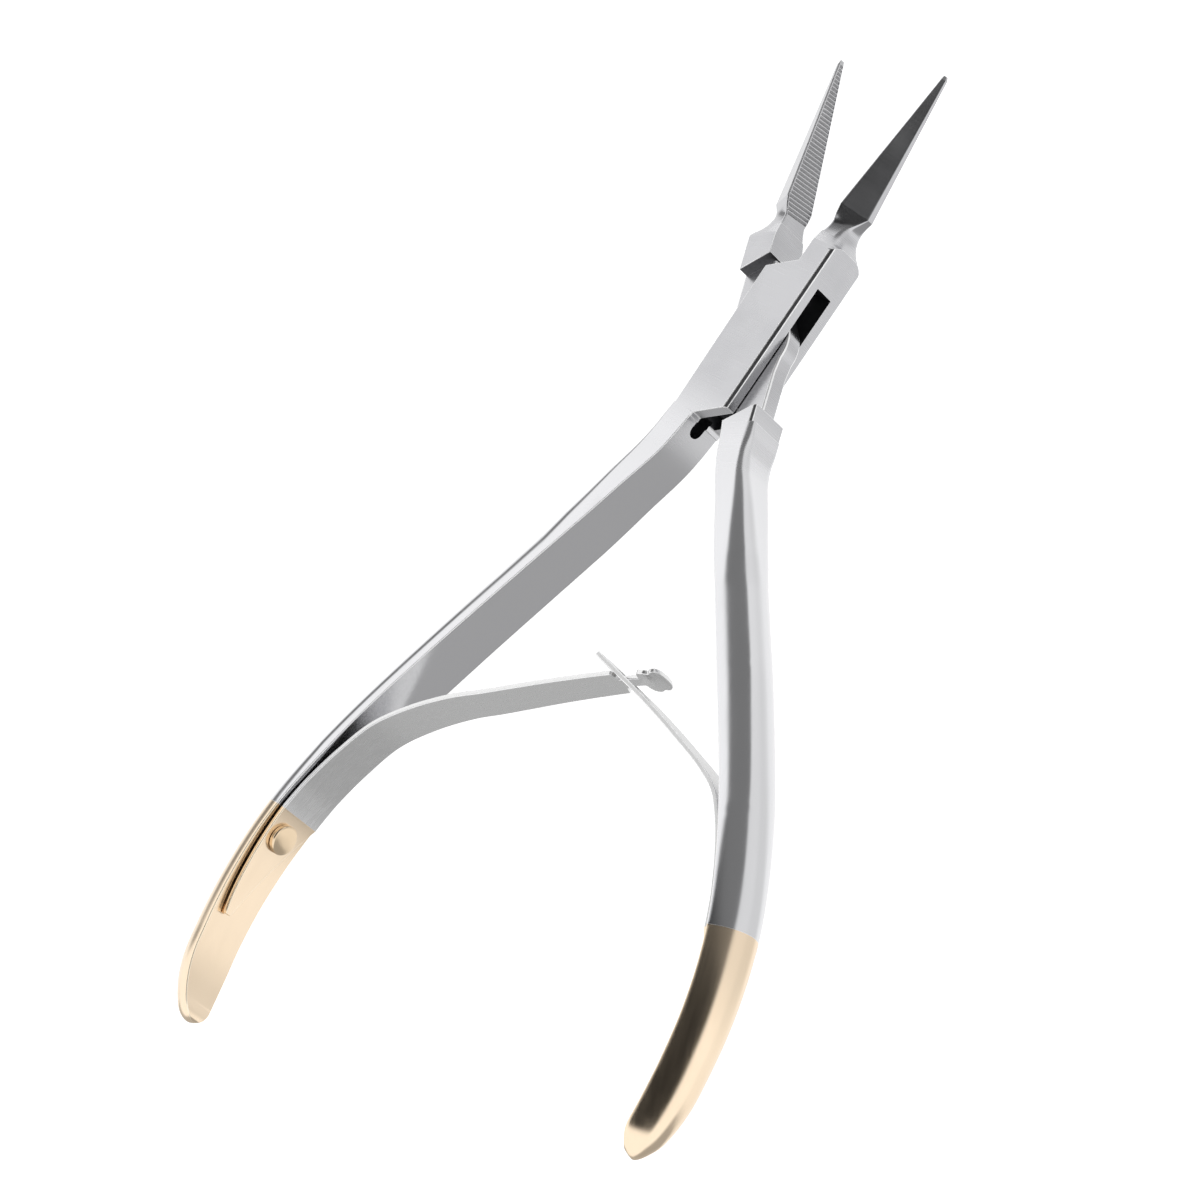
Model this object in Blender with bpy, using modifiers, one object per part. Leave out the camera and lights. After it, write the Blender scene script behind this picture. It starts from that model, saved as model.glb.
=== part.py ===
"""Flat nose pliers with a box joint, interlocking leaf springs and plated handle ends.

Lengths are in millimetres until they meet Blender, which works in metres.
Each arm is drawn in its own frame, with the jaws along +Y, the pivot axis at x = y = 0
and the mid-plane at z = 0, as it stands when the pliers are closed.  The female arm is
turned clockwise and the male arm counter-clockwise by half of the opening angle.
"""

import math

import bmesh
import bpy
from mathutils import Matrix, Vector

MM = 0.001
COLLECTION_NAME = "flat_nose_pliers"

# Driving dimensions.
HALF_OPENING_DEG = 11.25
BOX_HALF_WIDTH = 3.9
BOX_HALF_DEPTH = 3.2
SLOT_HALF_DEPTH = 1.55
NECK_HALF_DEPTH = 1.40
SHOULDER_INNER_Y = 11.2
SHOULDER_OUTER_Y = 8.9
SHOULDER_GAP = 0.35
SHOULDER_OVERHANG = 0.5
SLOT_END_Y = 9.3
NECK_TURN_RADIUS = 4.9
JAW_ROOT_Y = 13.8
JAW_BASE_Y = 19.2
JAW_TIP_Y = 40.2
JAW_CLEARANCE = 0.15
JAW_BASE_THICKNESS = 3.5
JAW_TIP_THICKNESS = 0.8
JAW_BASE_HALF_DEPTH = 3.0
JAW_TIP_HALF_DEPTH = 0.6
HANDLE_TIP_Y = -104.0
HANDLE_TIP_LENGTH = 9.0
PIN_RADIUS = 1.60
PIN_FIT = 0.05
PIN_HALF_LENGTH = 2.8
RIVET_Y = -80.1
RIVET_HEAD_RADIUS = 1.9
RIVET_HEAD_HEIGHT = 0.9
RIVET_HEAD_EDGE = 0.45
RIVET_SHANK_RADIUS = 1.2
RIVET_DEPTH = 2.2
RIVET_FIT = 0.1
RIVET_SEAT_GAP = 0.25
RIVET_LIFT = 0.6
SPRING_THICKNESS = 0.6
SPRING_BASE_HALF_WIDTH = 3.4
SPRING_TIP_HALF_WIDTH = 2.35
RIGHT_SPRING_NARROWING = 0.35
SPRING_GAP = 0.25
SPRING_SEAT_END_Y = -72.0
TONGUE_TIP_Y = -91.3
TONGUE_LENGTH = 14.5
TONGUE_TIP_HALF_WIDTH = 0.4
TONGUE_TIP_DEPTH = 1.6
HOOK_NECK_HALF_WIDTH = 0.9
HOOK_NECK_LENGTH = 3.2
HOOK_HEAD_LENGTH = 3.2
HOOK_HEAD_HALF_WIDTH = 2.4
SPRING_SLOT_LENGTH = 5.0
SPRING_SLOT_HALF_WIDTH = 1.35
MID_PLANE_Z = BOX_HALF_DEPTH

STEEL = (0.62, 0.62, 0.63, 1.0)
SPRING_STEEL = (0.55, 0.55, 0.56, 1.0)
PLATED = (0.86, 0.66, 0.46, 1.0)

# The inner face of a handle, as (distance from the symmetry plane, y) when closed.
HANDLE_INNER = [
    (0.2, -11.2),
    (1.1, -17.0),
    (3.1, -23.0),
    (5.1, -29.0),
    (8.4, -38.0),
    (12.6, -49.6),
    (16.7, -62.0),
    (19.1, -72.0),
    (19.9, -79.5),
    (19.5, -87.0),
    (18.2, -94.0),
    (16.9, -98.5),
    (15.3, -102.0),
]
FEMALE_HANDLE_TIP = (13.9, -103.8)
MALE_HANDLE_TIP = (14.6, -102.9)

# How far each forged handle stands out from that line, as (y, outward).
FEMALE_LEAN = [(-11, 0.0), (-70, 0.0), (-92, 0.5), (-110, 0.5)]
MALE_LEAN = [(-11, 0.0), (-25, -0.3), (-45, -0.7), (-110, -0.8)]

# The leaf springs' middle lines, each in its own arm's frame, measured from the
# symmetry plane: positive towards the spring's own handle.
LEFT_SPRING_PATH = [
    (17.3, -67.6),
    (15.3, -62.9),
    (11.8, -58.9),
    (7.5, -55.4),
    (3.3, -52.8),
    (-4.4, -47.9),
    (-11.3, -43.8),
    (-14.4, -42.2),
    (-16.2, -41.5),
    (-17.4, -40.5),
]
RIGHT_SPRING_PATH = [
    (16.7, -67.2),
    (15.3, -63.0),
    (13.5, -59.4),
    (10.3, -56.1),
    (6.6, -53.1),
    (2.9, -50.2),
    (-0.9, -47.4),
    (-4.4, -45.0),
    (-6.6, -43.5),
    (-8.9, -41.9),
]


def make_material(name, color, roughness):
    material = bpy.data.materials.new(name)
    material.use_nodes = True
    shader = material.node_tree.nodes["Principled BSDF"]
    shader.inputs["Base Color"].default_value = color
    shader.inputs["Roughness"].default_value = roughness
    shader.inputs["Metallic"].default_value = 1.0
    return material


def add_mesh_object(name, bm, collection):
    bmesh.ops.recalc_face_normals(bm, faces=bm.faces)
    mesh = bpy.data.meshes.new(name)
    bm.to_mesh(mesh)
    bm.free()
    obj = bpy.data.objects.new(name, mesh)
    collection.objects.link(obj)
    return obj


def flat_plate(name, outline, low, high, collection):
    """A flat outline in the XY plane, extruded from z = low to z = high."""
    curve = bpy.data.curves.new(name, "CURVE")
    curve.dimensions = "2D"
    curve.fill_mode = "BOTH"
    curve.extrude = (high - low) / 2 * MM
    spline = curve.splines.new("POLY")
    spline.points.add(len(outline) - 1)
    for point, (x, y) in zip(spline.points, outline):
        point.co = (x * MM, y * MM, 0.0, 1.0)
    spline.use_cyclic_u = True
    source = bpy.data.objects.new(name + "_outline", curve)
    collection.objects.link(source)
    bpy.context.view_layer.update()
    depsgraph = bpy.context.evaluated_depsgraph_get()
    mesh = bpy.data.meshes.new_from_object(source.evaluated_get(depsgraph))
    bpy.data.objects.remove(source)
    bm = bmesh.new()
    bm.from_mesh(mesh)
    bpy.data.meshes.remove(mesh)
    bmesh.ops.remove_doubles(bm, verts=bm.verts, dist=1e-7)
    bmesh.ops.translate(bm, verts=bm.verts, vec=(0, 0, (low + high) / 2 * MM))
    return add_mesh_object(name, bm, collection)


def loft(name, rings, collection):
    """A closed body through unlike rings that all have the same number of points."""
    bm = bmesh.new()
    loops = [[bm.verts.new(Vector(point) * MM) for point in ring] for ring in rings]
    for lower, upper in zip(loops, loops[1:]):
        for index in range(len(lower)):
            after = (index + 1) % len(lower)
            bm.faces.new((lower[index], lower[after], upper[after], upper[index]))
    bm.faces.new(loops[0])
    bm.faces.new(loops[-1])
    bmesh.ops.triangulate(bm, faces=bm.faces)
    return add_mesh_object(name, bm, collection)


def cylinder(name, radius, length, collection, segments=48):
    """A cylinder along Z, centred on the origin."""
    bm = bmesh.new()
    bmesh.ops.create_cone(
        bm,
        cap_ends=True,
        segments=segments,
        radius1=radius * MM,
        radius2=radius * MM,
        depth=length * MM,
    )
    return add_mesh_object(name, bm, collection)


def combine(target, other, operation):
    """Apply a Boolean of two objects to the first one, and remove the second."""
    modifier = target.modifiers.new(operation.lower(), "BOOLEAN")
    modifier.operation = operation
    modifier.solver = "EXACT"
    modifier.object = other
    bpy.context.view_layer.update()
    depsgraph = bpy.context.evaluated_depsgraph_get()
    mesh = bpy.data.meshes.new_from_object(target.evaluated_get(depsgraph))
    target.modifiers.clear()
    target.data = mesh
    bpy.data.objects.remove(other)


def smooth_curve(points, steps):
    """Points along a Catmull-Rom curve through the given points."""
    padded = [points[0]] + list(points) + [points[-1]]
    result = []
    for index in range(1, len(padded) - 2):
        before, start, end, after = (Vector(p) for p in padded[index - 1 : index + 3])
        for step in range(steps):
            t = step / steps
            result.append(
                0.5
                * (
                    2 * start
                    + (end - before) * t
                    + (2 * before - 5 * start + 4 * end - after) * t**2
                    + (3 * start - before - 3 * end + after) * t**3
                )
            )
    result.append(Vector(points[-1]))
    return result


def ramp(value, stops):
    """Linear interpolation between (position, value) stops in falling order."""
    for (start, low), (end, high) in zip(stops, stops[1:]):
        if value >= end:
            share = min(max((start - value) / (start - end), 0.0), 1.0)
            return low + (high - low) * share
    return stops[-1][1]


def handle_section(thickness, half_depth, flat, side):
    """Half-round section: a flat inner face at 0, a flat front and back, round corners."""
    corner_points = 5
    points = [(0.0, half_depth)]
    for step in range(corner_points + 1):
        angle = math.pi / 2 * (1 - step / corner_points)
        across = flat + (thickness - flat) * math.cos(angle)
        depth = side + (half_depth - side) * math.sin(angle)
        points.append((across, depth))
    return points + [(across, -depth) for across, depth in reversed(points)]


def inner_line(sign, steps):
    """The inner face of one handle, with that arm's own small lean, when closed."""
    lean = MALE_LEAN if sign > 0 else FEMALE_LEAN
    tip = MALE_HANDLE_TIP if sign > 0 else FEMALE_HANDLE_TIP
    return [Vector((p.x + ramp(p.y, lean), p.y)) for p in smooth_curve(HANDLE_INNER + [tip], steps)]


def handle_rings(sign, thickness_stops):
    """Sections square to the inner face, from the box joint to the rounded end."""
    path = inner_line(sign, 4)
    rings = []
    for index, point in enumerate(path):
        before = path[max(index - 1, 0)]
        after = path[min(index + 1, len(path) - 1)]
        tangent = (after - before).normalized()
        outward = Vector((-tangent.y, tangent.x))
        if index == 0:
            outward = Vector((1.0, 0.0))
        if outward.x < 0:
            outward = -outward
        y = point.y
        thickness = ramp(y, thickness_stops)
        half_depth = ramp(y, [(-11, 3.2), (-17, 3.3), (-30, 3.7), (-50, 3.9), (-80, 4.1), (-94, 3.7)])
        flat = ramp(y, [(-11, 3.5), (-17, 3.0), (-34, 0.2), (-110, 0.1)])
        side = ramp(y, [(-11, 2.9), (-17, 2.0), (-34, 0.1), (-110, 0.05)])
        end_share = min(max((y - HANDLE_TIP_Y) / HANDLE_TIP_LENGTH, 0.0), 1.0)
        taper = math.sqrt(1 - (1 - end_share) ** 2)
        thickness *= 0.35 + 0.65 * taper
        half_depth *= 0.12 + 0.88 * taper
        section = handle_section(thickness, half_depth, flat * taper, side * taper)
        ring = []
        for across, depth in section:
            place = point + outward * across
            ring.append((sign * place.x, place.y, depth))
        rings.append(ring)
    return rings


def jaw_rings(sign):
    """Sections of a jaw and its neck, from the box joint to the tip."""
    clearance = JAW_CLEARANCE
    # y, thickness, half depth at the gripping face, half depth at the outer side
    sections = [
        (JAW_ROOT_Y - 1.5, BOX_HALF_WIDTH - 0.4, BOX_HALF_DEPTH - 0.4, BOX_HALF_DEPTH - 0.4),
        (JAW_ROOT_Y, BOX_HALF_WIDTH - 0.05, BOX_HALF_DEPTH - 0.05, BOX_HALF_DEPTH - 0.1),
        (JAW_ROOT_Y + 1.4, BOX_HALF_WIDTH - 0.7, BOX_HALF_DEPTH - 0.2, BOX_HALF_DEPTH - 1.0),
        (JAW_ROOT_Y + 2.6, 2.7, 2.3, 1.7),
        (JAW_BASE_Y - 1.6, 2.6, 2.2, 1.3),
        (JAW_BASE_Y - 0.6, 2.9, 2.7, 0.9),
        (JAW_BASE_Y + 0.6, JAW_BASE_THICKNESS, JAW_BASE_HALF_DEPTH, 0.45),
        (JAW_TIP_Y - 0.5, JAW_TIP_THICKNESS, JAW_TIP_HALF_DEPTH, 0.3),
        (JAW_TIP_Y, JAW_TIP_THICKNESS * 0.6, JAW_TIP_HALF_DEPTH * 0.6, 0.2),
    ]
    rings = []
    for y, thickness, inner, outer in sections:
        corners = ((clearance, inner), (thickness, outer), (thickness, -outer), (clearance, -inner))
        rings.append([(sign * across, y, depth) for across, depth in corners])
    return rings


def turned(points, sign):
    """The same points, or turned half a turn about the pivot for the other end."""
    return [(sign * x, sign * y) for x, y in points]


def arm_turn(half_turn):
    """The turn of an arm about the pivot, and the lift onto the back cheek's plane."""
    lift = Matrix.Translation((0, 0, MID_PLANE_Z * MM))
    return lift @ Matrix.Rotation(math.radians(half_turn), 4, "Z")


def build_female_arm(collection):
    width = BOX_HALF_WIDTH
    inner = JAW_CLEARANCE
    upper_half = [(-width, SHOULDER_OUTER_Y), (inner, SHOULDER_INNER_Y), (inner, JAW_ROOT_Y), (width, JAW_ROOT_Y)]
    outline = upper_half + [(width, -SHOULDER_OUTER_Y), (-inner, -SHOULDER_INNER_Y)]
    outline += [(-inner, -SHOULDER_INNER_Y - 0.6), (-width + 0.3, -SHOULDER_INNER_Y - 1.5)]
    arm = flat_plate("female_arm", outline, -BOX_HALF_DEPTH, BOX_HALF_DEPTH, collection)
    jaw = loft("female_jaw", jaw_rings(1), collection)
    combine(arm, jaw, "UNION")
    thickness = [(-11, 3.6), (-17, 3.9), (-30, 4.4), (-40, 4.0), (-60, 3.7), (-110, 3.7)]
    handle = loft("female_handle", handle_rings(-1, thickness), collection)
    combine(arm, handle, "UNION")
    past = width + 2
    slot_upper = [(past, SLOT_END_Y), (0.0, SLOT_END_Y), (0.0, SHOULDER_INNER_Y + 1), (-past, SHOULDER_INNER_Y + 1)]
    slot = slot_upper + turned(slot_upper, -1)
    cutter = flat_plate("slot", slot, -SLOT_HALF_DEPTH, SLOT_HALF_DEPTH, collection)
    combine(arm, cutter, "DIFFERENCE")
    bore = cylinder("bore", PIN_RADIUS + PIN_FIT, 2 * PIN_HALF_LENGTH + 2 * PIN_FIT, collection)
    combine(arm, bore, "DIFFERENCE")
    return arm


def neck_outline():
    """The thin neck of the male arm, with rounded flanks that turn about the pivot."""
    reach = BOX_HALF_WIDTH + 0.3
    flank = [(reach, -SHOULDER_OUTER_Y - 1.0), (reach, -4.0)]
    for angle in (-20, -5, 10, 25):
        turn = math.radians(angle)
        flank.append((NECK_TURN_RADIUS * math.cos(turn), NECK_TURN_RADIUS * math.sin(turn)))
    flank += [(2.9, 5.2), (-0.3, SLOT_END_Y - 0.3), (-0.3, SHOULDER_INNER_Y + 1.5)]
    return flank + turned(flank, -1)


def build_male_arm(collection):
    width = BOX_HALF_WIDTH
    inner = JAW_CLEARANCE
    gap = SHOULDER_GAP
    outer_y = SHOULDER_OUTER_Y + gap
    inner_y = SHOULDER_INNER_Y + gap
    head = [(-width, outer_y), (-inner, inner_y), (-inner, JAW_ROOT_Y), (-width, JAW_ROOT_Y)]
    arm = flat_plate("male_arm", neck_outline(), -NECK_HALF_DEPTH, NECK_HALF_DEPTH, collection)
    upper = flat_plate("male_head", head, -BOX_HALF_DEPTH, BOX_HALF_DEPTH, collection)
    combine(arm, upper, "UNION")
    jaw = loft("male_jaw", jaw_rings(-1), collection)
    combine(arm, jaw, "UNION")
    wide = width + SHOULDER_OVERHANG
    shoulder = [(wide, -outer_y), (inner, -inner_y), (inner + 0.3, -inner_y - 1.6), (wide, -inner_y - 1.2)]
    lower = flat_plate("male_shoulder", shoulder, -BOX_HALF_DEPTH, BOX_HALF_DEPTH, collection)
    combine(arm, lower, "UNION")
    thickness = [(-11, 4.05), (-17, 4.0), (-30, 4.6), (-45, 4.9), (-60, 4.7), (-80, 4.2), (-110, 4.2)]
    rings = [ring for ring in handle_rings(1, thickness) if ring[0][1] < -inner_y - 0.3]
    handle = loft("male_handle", rings, collection)
    combine(arm, handle, "UNION")
    bore = cylinder("bore", PIN_RADIUS + PIN_FIT, 4 * BOX_HALF_DEPTH, collection)
    combine(arm, bore, "DIFFERENCE")
    return arm


def turned_piece(name, profile, collection):
    """A body turned about Z from an (r, z) profile that runs from top to bottom."""
    mesh = bpy.data.meshes.new(name)
    points = [(radius * MM, 0.0, z * MM) for radius, z in profile]
    mesh.from_pydata(points, [(i, i + 1) for i in range(len(points) - 1)], [])
    obj = bpy.data.objects.new(name, mesh)
    collection.objects.link(obj)
    screw = obj.modifiers.new("turn", "SCREW")
    screw.steps = 40
    screw.render_steps = 40
    screw.use_merge_vertices = True
    screw.merge_threshold = 0.000001
    return obj


def inner_face_x(sign, y):
    """Distance of a handle's inner face from the symmetry plane at height y."""
    path = inner_line(sign, 8)
    for start, end in zip(path, path[1:]):
        if end.y <= y <= start.y:
            share = (start.y - y) / (start.y - end.y)
            return start.x + (end.x - start.x) * share
    return path[-1].x


def spring_middle_line(sign, free_path):
    """The seat along the handle's inner face, then the free part of the spring."""
    lift = SPRING_GAP + SPRING_THICKNESS / 2
    seat = []
    steps = 6
    for step in range(steps + 1):
        y = TONGUE_TIP_Y + (SPRING_SEAT_END_Y - TONGUE_TIP_Y) * step / steps
        seat.append((inner_face_x(sign, y) - lift, y))
    return smooth_curve(seat + free_path, 6)


def spring_rings(sign, line, widths):
    """Flat sections across the leaf; widths gives (low, high) depth for each share."""
    half = SPRING_THICKNESS / 2
    lengths = [0.0]
    for start, end in zip(line, line[1:]):
        lengths.append(lengths[-1] + (end - start).length)
    rings = []
    for index, point in enumerate(line):
        before = line[max(index - 1, 0)]
        after = line[min(index + 1, len(line) - 1)]
        tangent = (after - before).normalized()
        across = Vector((-tangent.y, tangent.x)) * half
        low, high = widths(lengths[index], lengths[-1])
        ring = []
        for side, depth in ((1, high), (-1, high), (-1, low), (1, low)):
            place = point + across * side
            ring.append((sign * place.x, place.y, depth))
        rings.append(ring)
    return rings


def seat_widths(length, total):
    """A pointed tongue that widens to the full width, then narrows to the tip."""
    if length < TONGUE_LENGTH:
        share = length / TONGUE_LENGTH
        tip_high = TONGUE_TIP_DEPTH + TONGUE_TIP_HALF_WIDTH
        tip_low = TONGUE_TIP_DEPTH - TONGUE_TIP_HALF_WIDTH
        high = tip_high + (SPRING_BASE_HALF_WIDTH - tip_high) * share**0.5
        low = tip_low - (SPRING_BASE_HALF_WIDTH + tip_low) * share
        return low, high
    share = (length - TONGUE_LENGTH) / (total - TONGUE_LENGTH)
    half = SPRING_BASE_HALF_WIDTH + (SPRING_TIP_HALF_WIDTH - SPRING_BASE_HALF_WIDTH) * share
    return -half, half


def right_seat_widths(length, total):
    """The right spring is a little narrower, and its tongue points to the back."""
    low, high = seat_widths(length, total)
    return RIGHT_SPRING_NARROWING - high, -RIGHT_SPRING_NARROWING - low


def drill_for_rivet(obj, sign, collection):
    """A hole square to the handle's inner face for a rivet's shank."""
    hole = cylinder("hole", RIVET_SHANK_RADIUS + RIVET_FIT, 2 * RIVET_DEPTH + 2 * RIVET_FIT, collection, 24)
    hole.matrix_world = rivet_place(sign)
    bake_transform(hole)
    combine(obj, hole, "DIFFERENCE")


def rivet_place(sign):
    """Z of the rivet points out of the inner face, towards the other handle."""
    turn = Matrix.Rotation(math.radians(-90 * sign), 4, "Y")
    place = Vector((sign * inner_face_x(sign, RIVET_Y), RIVET_Y, -sign * RIVET_LIFT))
    return Matrix.Translation(place * MM) @ turn


def bake_transform(obj):
    obj.data.transform(obj.matrix_world)
    obj.matrix_world = Matrix.Identity(4)


def build_rivet(name, sign, collection):
    seat = SPRING_GAP + SPRING_THICKNESS + RIVET_SEAT_GAP
    dome_steps = 6
    profile = []
    edge = RIVET_HEAD_EDGE
    for step in range(dome_steps + 1):
        angle = math.pi / 2 * step / dome_steps
        radius = RIVET_HEAD_RADIUS * math.sin(angle)
        profile.append((radius, seat + edge + (RIVET_HEAD_HEIGHT - edge) * math.cos(angle)))
    profile.append((RIVET_HEAD_RADIUS, seat))
    profile.append((RIVET_SHANK_RADIUS, seat))
    profile.append((RIVET_SHANK_RADIUS, -RIVET_DEPTH))
    profile.append((0.0, -RIVET_DEPTH))
    rivet = turned_piece(name, profile, collection)
    rivet.matrix_world = arm_turn(sign * HALF_OPENING_DEG) @ rivet_place(sign)
    return rivet


def build_left_spring(collection):
    """The spring on the female handle, with a hook that passes through the other one."""
    line = spring_middle_line(-1, LEFT_SPRING_PATH)

    def widths(length, total):
        rest = total - length
        low, high = seat_widths(length, total)
        if rest < HOOK_HEAD_LENGTH:
            bulge = min(max(2 * rest / HOOK_HEAD_LENGTH, 0.0), 1.0)
            half = HOOK_HEAD_HALF_WIDTH * (0.55 + 0.45 * bulge)
            return -half, half
        if rest < HOOK_HEAD_LENGTH + HOOK_NECK_LENGTH:
            return -HOOK_NECK_HALF_WIDTH, HOOK_NECK_HALF_WIDTH
        return low, high

    spring = loft("left_spring", spring_rings(-1, line, widths), collection)
    drill_for_rivet(spring, -1, collection)
    spring.matrix_world = arm_turn(-HALF_OPENING_DEG)
    return spring


def build_right_spring(collection):
    """The spring on the male handle, slotted near its tip for the other one's hook."""
    line = spring_middle_line(1, RIGHT_SPRING_PATH)
    spring = loft("right_spring", spring_rings(1, line, right_seat_widths), collection)
    drill_for_rivet(spring, 1, collection)
    crossing = Vector(RIGHT_SPRING_PATH[7])
    along = Vector(RIGHT_SPRING_PATH[8]) - Vector(RIGHT_SPRING_PATH[6])
    angle = math.atan2(along.y, along.x)
    half = SPRING_SLOT_LENGTH / 2
    outline = [(-half, -2), (half, -2), (half, 2), (-half, 2)]
    slot = flat_plate("spring_slot", outline, -SPRING_SLOT_HALF_WIDTH, SPRING_SLOT_HALF_WIDTH, collection)
    slot.matrix_world = Matrix.Translation((*(crossing * MM), 0)) @ Matrix.Rotation(angle, 4, "Z")
    bake_transform(slot)
    combine(spring, slot, "DIFFERENCE")
    spring.matrix_world = arm_turn(HALF_OPENING_DEG)
    return spring


def build_pin(collection):
    """The hidden pivot pin, ground flush under the polished cheeks."""
    chamfer = 0.2
    profile = [
        (0.0, PIN_HALF_LENGTH),
        (PIN_RADIUS - chamfer, PIN_HALF_LENGTH),
        (PIN_RADIUS, PIN_HALF_LENGTH - chamfer),
        (PIN_RADIUS, chamfer - PIN_HALF_LENGTH),
        (PIN_RADIUS - chamfer, -PIN_HALF_LENGTH),
        (0.0, -PIN_HALF_LENGTH),
    ]
    pin = turned_piece("pivot_pin", profile, collection)
    pin.matrix_world = arm_turn(-HALF_OPENING_DEG)
    return pin


def finish_piece(obj, material):
    obj.data.materials.clear()
    obj.data.materials.append(material)
    obj.data.shade_smooth()
    obj.data.set_sharp_from_angle(angle=math.radians(30))


def main():
    for obj in list(bpy.data.objects):
        bpy.data.objects.remove(obj, do_unlink=True)
    collection = bpy.data.collections.new(COLLECTION_NAME)
    bpy.context.scene.collection.children.link(collection)

    female = build_female_arm(collection)
    drill_for_rivet(female, -1, collection)
    female.matrix_world = arm_turn(-HALF_OPENING_DEG)
    finish_piece(female, make_material("female_arm_steel", STEEL, 0.3))

    male = build_male_arm(collection)
    drill_for_rivet(male, 1, collection)
    male.matrix_world = arm_turn(HALF_OPENING_DEG)
    finish_piece(male, make_material("male_arm_steel", STEEL, 0.3))

    finish_piece(build_pin(collection), make_material("pin_steel", STEEL, 0.25))
    finish_piece(build_left_spring(collection), make_material("left_spring_steel", SPRING_STEEL, 0.3))
    finish_piece(build_right_spring(collection), make_material("right_spring_steel", SPRING_STEEL, 0.3))
    finish_piece(build_rivet("left_rivet", -1, collection), make_material("left_rivet_plating", PLATED, 0.25))
    finish_piece(build_rivet("right_rivet", 1, collection), make_material("right_rivet_plating", PLATED, 0.25))


main()
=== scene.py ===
"""Looks for the flat nose pliers: forged arms, filed jaws, leaf springs and plated ends.

Shapes are drawn in millimetres in each arm's own closed frame, with the jaws along +Y and
the pivot axis at x = y = 0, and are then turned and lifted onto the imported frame.
"""

import math

import bmesh
import bpy
from mathutils import Matrix, Vector


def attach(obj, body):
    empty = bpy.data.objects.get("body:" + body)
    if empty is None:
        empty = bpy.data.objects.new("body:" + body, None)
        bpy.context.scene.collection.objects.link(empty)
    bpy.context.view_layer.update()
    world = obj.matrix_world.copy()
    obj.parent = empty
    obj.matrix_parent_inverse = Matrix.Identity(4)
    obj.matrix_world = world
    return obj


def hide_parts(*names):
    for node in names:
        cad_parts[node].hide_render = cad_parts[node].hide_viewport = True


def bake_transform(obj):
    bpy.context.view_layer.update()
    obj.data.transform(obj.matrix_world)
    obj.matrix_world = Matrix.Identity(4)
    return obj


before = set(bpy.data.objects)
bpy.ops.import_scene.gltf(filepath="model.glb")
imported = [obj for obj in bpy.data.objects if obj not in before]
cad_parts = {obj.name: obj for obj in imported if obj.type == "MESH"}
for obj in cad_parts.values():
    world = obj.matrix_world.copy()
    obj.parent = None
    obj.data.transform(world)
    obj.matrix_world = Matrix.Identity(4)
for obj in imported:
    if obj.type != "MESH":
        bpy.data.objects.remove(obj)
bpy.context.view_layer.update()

MM = 0.001
HALF_OPENING_DEG = 11.25
BOX_WIDTH = 3.9
BOX_DEPTH = 3.2
SLOT_DEPTH = 1.55
NECK_DEPTH = 1.40
SHOULDER_INNER_Y = 11.2
SHOULDER_OUTER_Y = 8.9
SHOULDER_GAP = 0.35
SHOULDER_OVERHANG = 0.5
SLOT_END_Y = 9.3
NECK_TURN_RADIUS = 4.9
JAW_CLEARANCE = 0.15
JAW_TIP_Y = 40.2
TEETH_START_Y = 17.7
TEETH_PITCH = 0.55
TEETH_DEPTH = 0.2
TEETH_END_Y = JAW_TIP_Y - 0.4
TOOTH_COUNT = 40
TOOTH_SHARES = (0.0, 0.1, 0.5, 0.9)
TOOTH_HALF_WIDTH = 0.4
TOOTH_TILT = 0.14
TOOTH_TILT_RISE = 1.7
TOOTH_TILT_FALL = 0.6
TOOTH_LAND = 0.05
GRIP_START_Y = 15.9
GRIP_MARGINS = (0.06, 0.94)
GROOVE_END_Y = JAW_TIP_Y - 0.5
GROOVE_SHARES = (0.05, 0.45)
STOCK_REACH = 9.0
STOCK_DEPTH = 7.0
STOCK_ROUNDING = 2.0
STOCK_LEVELS = (-20.0, 12.4)
BLANK_GRIP_X = JAW_CLEARANCE - 0.02
BLANK_OVERRUN = 1
BLANK_EDGE = 0.09
BOX_CHAMFER = 0.36
BOX_TAIL_STEP = 0.6
BOX_TAIL_LENGTH = 1.5
BOX_TAIL_NARROWING = 0.3
RUN_OUT_RADIUS = 0.95
RUN_OUT_X = (-2.6, 1.0)
RUN_OUT_Y = (-10.6, -13.6)
RUN_OUT_DEPTH = (1.5, -0.5)
NECK_EDGE = 0.3
NECK_REACH = BOX_WIDTH + 0.3
# Neck faces beyond this height get painted shade inside the box.
NECK_SHADE_Y = 2.9
SHOULDER_CHAMFER = 0.3
SHOULDER_EDGE = 0.08
SHOULDER_FOOT_INSET = 0.3
SHOULDER_FOOT_INNER = 1.6
SHOULDER_FOOT_OUTER = 1.2
CHAMFER_LEAN_IN = 0.35
CHAMFER_LEAN_UP = 0.25
EDGE_RADIUS = 0.14
# Reach of the painted highlight along edges.
EDGE_HIGHLIGHT_RADIUS = 0.11
PLATING_Y = -76.9
RIVET_Y = -80.1
RIVET_HEAD_RADIUS = 1.9
RIVET_HEAD_HEIGHT = 0.9
RIVET_LIFT = 0.6
RIVET_DOME_SHARE = 0.84
RIVET_DOME_DROP = 0.14
RIVET_RIM_SHARE = 0.16
RIVET_RIM_DROP = 0.3
RIVET_SEAT_GAP = 0.06
RIVET_FOOT_HEIGHT = 0.05
RIVET_FOOT_INSET = 0.1
RIVET_SEGMENTS = 72
SPRING_THICKNESS = 0.6
SPRING_GAP = 0.25
SPRING_EDGE = 0.12
SPRING_SEAT_END_Y = -72.0
SPRING_BASE_WIDTH = 3.4
SPRING_TIP_WIDTH = 2.35
RIGHT_LEAF_NARROWING = 0.35
TONGUE_TIP_Y = -91.3
TONGUE_TIP_DEPTH = 1.6
TONGUE_LENGTH = 14.5
HOOK_NECK_WIDTH = 0.9
HOOK_NECK_LENGTH = 3.2
HOOK_HEAD_LENGTH = 3.2
HOOK_HEAD_WIDTH = 2.4
HOOK_ROUND_SHARE = 0.3
HOOK_END_SHARE = 0.3
HOOK_WAIST_DEPTH = 0.14
HOOK_WAIST_PLACE = 0.42
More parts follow.
